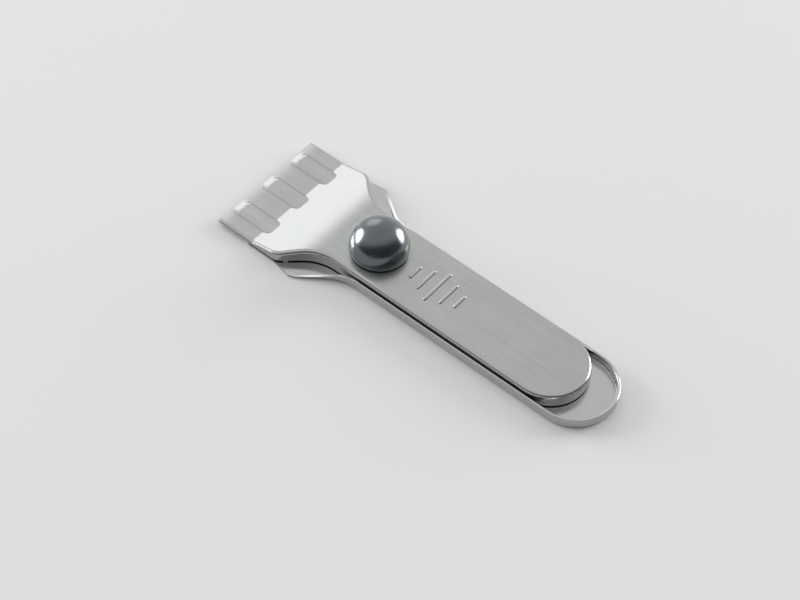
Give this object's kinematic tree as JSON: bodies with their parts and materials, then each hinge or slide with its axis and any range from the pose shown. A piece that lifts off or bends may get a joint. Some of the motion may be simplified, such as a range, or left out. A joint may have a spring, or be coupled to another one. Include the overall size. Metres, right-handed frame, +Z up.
{
  "type": "hob scraper",
  "caption": "Hand scraper for glass ceramic hobs: two pressed steel plates, the upper sliding over the razor blade and clamped by a domed knob.",
  "frame": {"origin": "centre of the footprint, on the surface that the scraper lies on, with the upper plate pushed forward over the blade", "axes": "+X from the blade's end to the tail of the handle, +Z up out of the surface, +Y across the handle"},
  "size_m": [0.1334, 0.0456, 0.0166],
  "materials": {
    "pressed_steel": "satin",
    "peg_steel": "satin",
    "fastener_steel": "zinc plated",
    "washer_steel": "satin",
    "blade_steel": "ground",
    "knob_plastic": "gloss"
  },
  "bodies": {
    "tray": {"lower_tray": "pressed_steel", "blade_peg_left": "peg_steel", "blade_peg_middle": "peg_steel", "blade_peg_right": "peg_steel", "clamp_nut": "fastener_steel", "blade": "blade_steel"},
    "cover": {"upper_cover": "pressed_steel"},
    "washer": {"knob_washer": "washer_steel"},
    "knob": {"knob_cap": "knob_plastic", "clamp_screw": "fastener_steel"}
  },
  "joints": [
    {"name": "cover_slide", "type": "slide", "parent": "tray", "child": "cover", "axis": [1, 0, 0], "range_m": [0, 0.0074]},
    {"name": "knob_lift", "type": "slide", "parent": "tray", "child": "washer", "axis": [0, 0, 1], "range_m": [0, 0.0036]},
    {"name": "knob_turn", "type": "hinge", "parent": "washer", "child": "knob", "pos_m": [-0.0206, 0, 0.006], "axis": [0, 0, 1], "range_deg": [0, 1800]}
  ],
  "couplings": [
    {"joint": "knob_lift", "follows": "knob_turn", "m_per_rad": 0.00011141}
  ]
}
